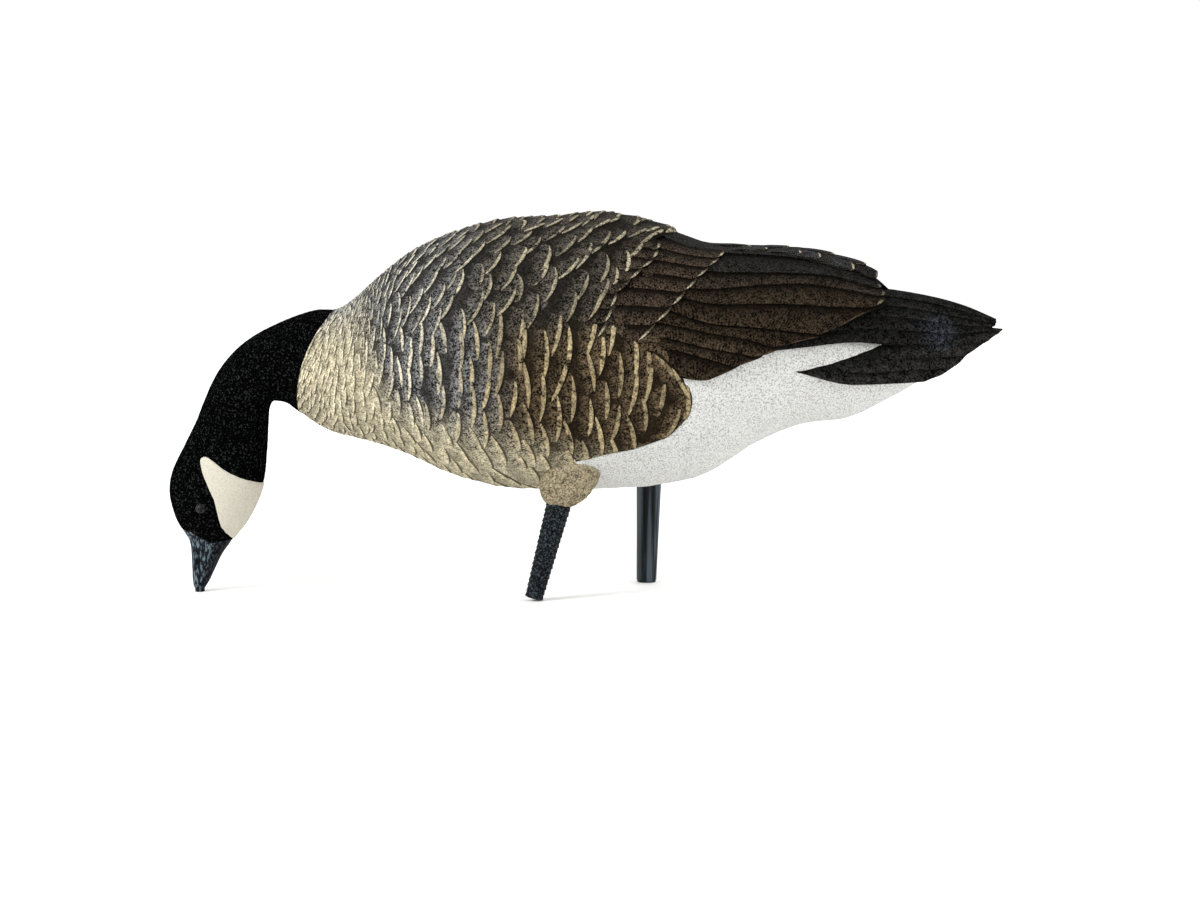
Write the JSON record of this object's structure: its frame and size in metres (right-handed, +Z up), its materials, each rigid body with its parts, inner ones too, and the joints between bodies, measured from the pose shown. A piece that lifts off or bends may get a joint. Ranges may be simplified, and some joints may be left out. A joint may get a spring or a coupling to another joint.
{
  "type": "goose decoy",
  "caption": "Life-size full-body goose decoy in a feeding pose, neck bent down with the bill tip on the ground, standing on leg posts.",
  "frame": {"origin": "on the ground, under the middle of the decoy's overall length and width", "axes": "+Z up; the bill points towards -X and the tail towards +X; the goose's left side faces -Y"},
  "size_m": [0.7218, 0.2442, 0.3314],
  "materials": {
    "painted_plumage": "moulded feathers, matt paint in browns, greys and tan edges, with a white flocked belly and rump",
    "flocked_head": "short black flock over a moulded head and neck, white cheek patches, painted bill",
    "leg_plastic": "blue-black moulded plastic, scaly on the left leg and smooth with a soft gloss on the right",
    "white_flock": "short white flock over the moulded belly, rump and cheeks",
    "bill_and_eyes": "blue-black painted bill with a soft sheen, glossy dark eyes"
  },
  "bodies": {
    "root": {"body": "painted_plumage", "head_and_neck": "flocked_head", "left_leg": "leg_plastic", "right_leg": "leg_plastic"}
  },
  "joints": []
}
